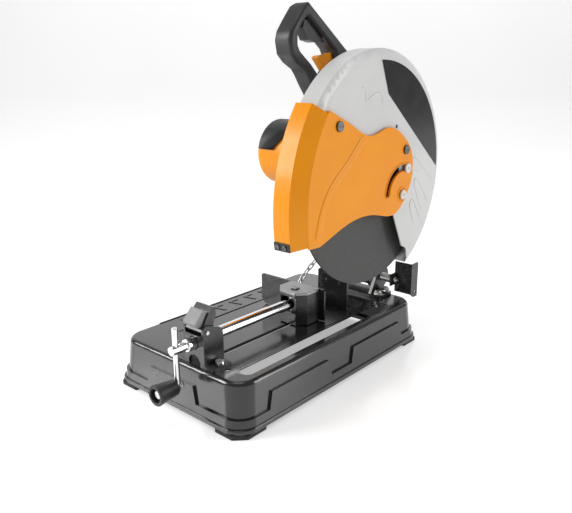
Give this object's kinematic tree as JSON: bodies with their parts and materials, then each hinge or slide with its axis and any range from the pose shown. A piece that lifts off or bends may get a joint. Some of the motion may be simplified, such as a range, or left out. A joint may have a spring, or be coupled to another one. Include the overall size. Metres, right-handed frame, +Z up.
{
  "type": "abrasive chop saw",
  "caption": "Abrasive chop saw: tilting head with guarded disc, motor and D-handle on a pressed base with a screw vise, fence and spark deflector.",
  "frame": {"origin": "on the floor, at the centre of the base and of its bench bolt holes", "axes": "+X to the operator's right (disc side), +Y to the hinge at the back, +Z up"},
  "size_m": [0.278, 0.5807, 0.565],
  "materials": {
    "base_paint": "semi-gloss black enamel",
    "black_steel": "semi-gloss black enamel",
    "cast_black": "black enamel on a casting",
    "rubber": "matte",
    "zinc": "zinc plated",
    "spring_steel": "drawn wire",
    "chain_steel": "zinc plated",
    "grey_plastic": "fine grain",
    "bronze": "machined",
    "chrome_steel": "polished",
    "black_plastic": "fine grain",
    "grey_steel": "satin",
    "bearing_steel": "ground",
    "orange_plastic": "satin",
    "orange_paint": "satin gloss",
    "stator_steel": "laminated",
    "carbon": "matte",
    "guard_paint": "satin light grey",
    "badge_black": "gloss",
    "white_cap": "satin",
    "cord_rubber": "matte",
    "dark_screw": "black oxide",
    "gear_steel": "machined",
    "abrasive": "coarse bonded grit"
  },
  "bodies": {
    "base": {"base_pan": "base_paint", "rubber_feet": "rubber", "foot_screws": "zinc", "hinge_bracket": "black_steel", "table_bolts": "zinc", "hinge_shaft": "zinc", "torsion_spring": "spring_steel", "stop_bolt": "zinc", "chain_eye": "zinc", "hold_chain": "chain_steel", "vise_bracket": "black_steel", "lever_pin": "zinc"},
    "deflector": {"spark_deflector": "black_steel"},
    "fence_angle": {"fence": "black_steel"},
    "release": {"release_lever": "black_steel", "lever_grip": "grey_plastic", "half_nut": "bronze"},
    "jaw_carriage": {"swivel_barrel": "zinc", "guide_bolt": "zinc"},
    "screw": {"vise_screw": "chrome_steel", "crank_rod": "chrome_steel", "crank_knob_bolt": "zinc"},
    "knob": {"crank_knob": "black_plastic"},
    "jaw": {"jaw_body": "black_steel", "jaw_cap": "grey_steel", "jaw_pin": "grey_steel", "jaw_plate": "black_steel"},
    "head": {"head_casting": "cast_black", "gear_case_cover": "cast_black", "casing_screws": "zinc", "bearings": "bearing_steel", "motor_housing": "orange_plastic", "motor_end_cap": "orange_plastic", "vent_cover": "black_plastic", "stator": "stator_steel", "carbon_brushes": "carbon", "brush_caps": "black_plastic", "fixed_guard": "guard_paint", "guard_badge": "badge_black", "cover_pivot_screws": "white_cap", "handle_left": "black_plastic", "handle_right": "black_plastic", "handle_insert": "orange_plastic", "switch_box": "black_plastic", "power_cord": "cord_rubber"},
    "cover": {"swing_cover": "orange_paint", "cover_tip": "black_plastic", "cover_screws": "dark_screw"},
    "trigger_body": {"trigger": "black_plastic"},
    "lock_on": {"lock_button": "orange_plastic"},
    "spindle_lock_body": {"spindle_lock": "black_plastic"},
    "disc_shaft": {"spindle": "bearing_steel", "spindle_gear": "gear_steel", "inner_flange": "zinc", "cutting_disc": "abrasive", "outer_flange": "zinc", "spindle_bolt": "zinc"},
    "motor_shaft": {"armature_shaft": "bearing_steel", "armature": "stator_steel", "cooling_fan": "black_plastic"}
  },
  "joints": [
    {"name": "head_tilt", "type": "hinge", "parent": "base", "child": "head", "pos_m": [0, 0.212, 0.106], "axis": [1, 0, 0], "range_deg": [0, 25], "deforming": ["hold_chain", "torsion_spring"]},
    {"name": "cover_swing", "type": "hinge", "parent": "head", "child": "cover", "pos_m": [0, 0.165, 0.2735], "axis": [1, 0, 0], "range_deg": [-98, 0]},
    {"name": "disc_spin", "type": "hinge", "parent": "head", "child": "disc_shaft", "pos_m": [0, 0.1087, 0.311], "axis": [1, 0, 0], "continuous": true},
    {"name": "motor_spin", "type": "hinge", "parent": "head", "child": "motor_shaft", "pos_m": [0, 0.08352, 0.33531], "axis": [1, 0, 0], "continuous": true},
    {"name": "trigger_pull", "type": "hinge", "parent": "head", "child": "trigger_body", "pos_m": [0, 0.066, 0.521], "axis": [-1, 0, 0], "range_deg": [0, 8]},
    {"name": "lock_on_push", "type": "slide", "parent": "head", "child": "lock_on", "axis": [1, 0, 0], "range_m": [0, 0.003]},
    {"name": "spindle_lock_push", "type": "slide", "parent": "head", "child": "spindle_lock_body", "axis": [0, -0.9397, -0.342], "range_m": [0, 0.007]},
    {"name": "screw_turn", "type": "hinge", "parent": "jaw_carriage", "child": "screw", "pos_m": [0.035, -0.1, 0.11], "axis": [0, 1, 0], "range_deg": [-8676, 468]},
    {"name": "jaw_slide", "type": "slide", "parent": "base", "child": "jaw_carriage", "axis": [0, 1, 0], "range_m": [-0.12, 0.006]},
    {"name": "knob_spin", "type": "hinge", "parent": "screw", "child": "knob", "pos_m": [0.035, -0.26, 0.057], "axis": [0, 1, 0], "continuous": true},
    {"name": "jaw_swivel", "type": "hinge", "parent": "jaw_carriage", "child": "jaw", "pos_m": [0.035, 0.001, 0.11], "axis": [0, 0, 1], "range_deg": [-15, 15]},
    {"name": "release_lift", "type": "hinge", "parent": "base", "child": "release", "pos_m": [0, -0.205, 0.128], "axis": [1, 0, 0], "range_deg": [0, 45]},
    {"name": "fence_turn", "type": "hinge", "parent": "base", "child": "fence_angle", "pos_m": [0.043, 0.11, 0.08], "axis": [0, 0, 1], "range_deg": [-15, 15]},
    {"name": "deflector_tilt", "type": "hinge", "parent": "base", "child": "deflector", "pos_m": [0, 0.212, 0.106], "axis": [1, 0, 0], "range_deg": [0, 12]}
  ],
  "couplings": [
    {"joint": "motor_spin", "follows": "disc_spin", "ratio": -3.3077},
    {"joint": "screw_turn", "follows": "jaw_slide", "rad_per_m": 1256.6}
  ]
}
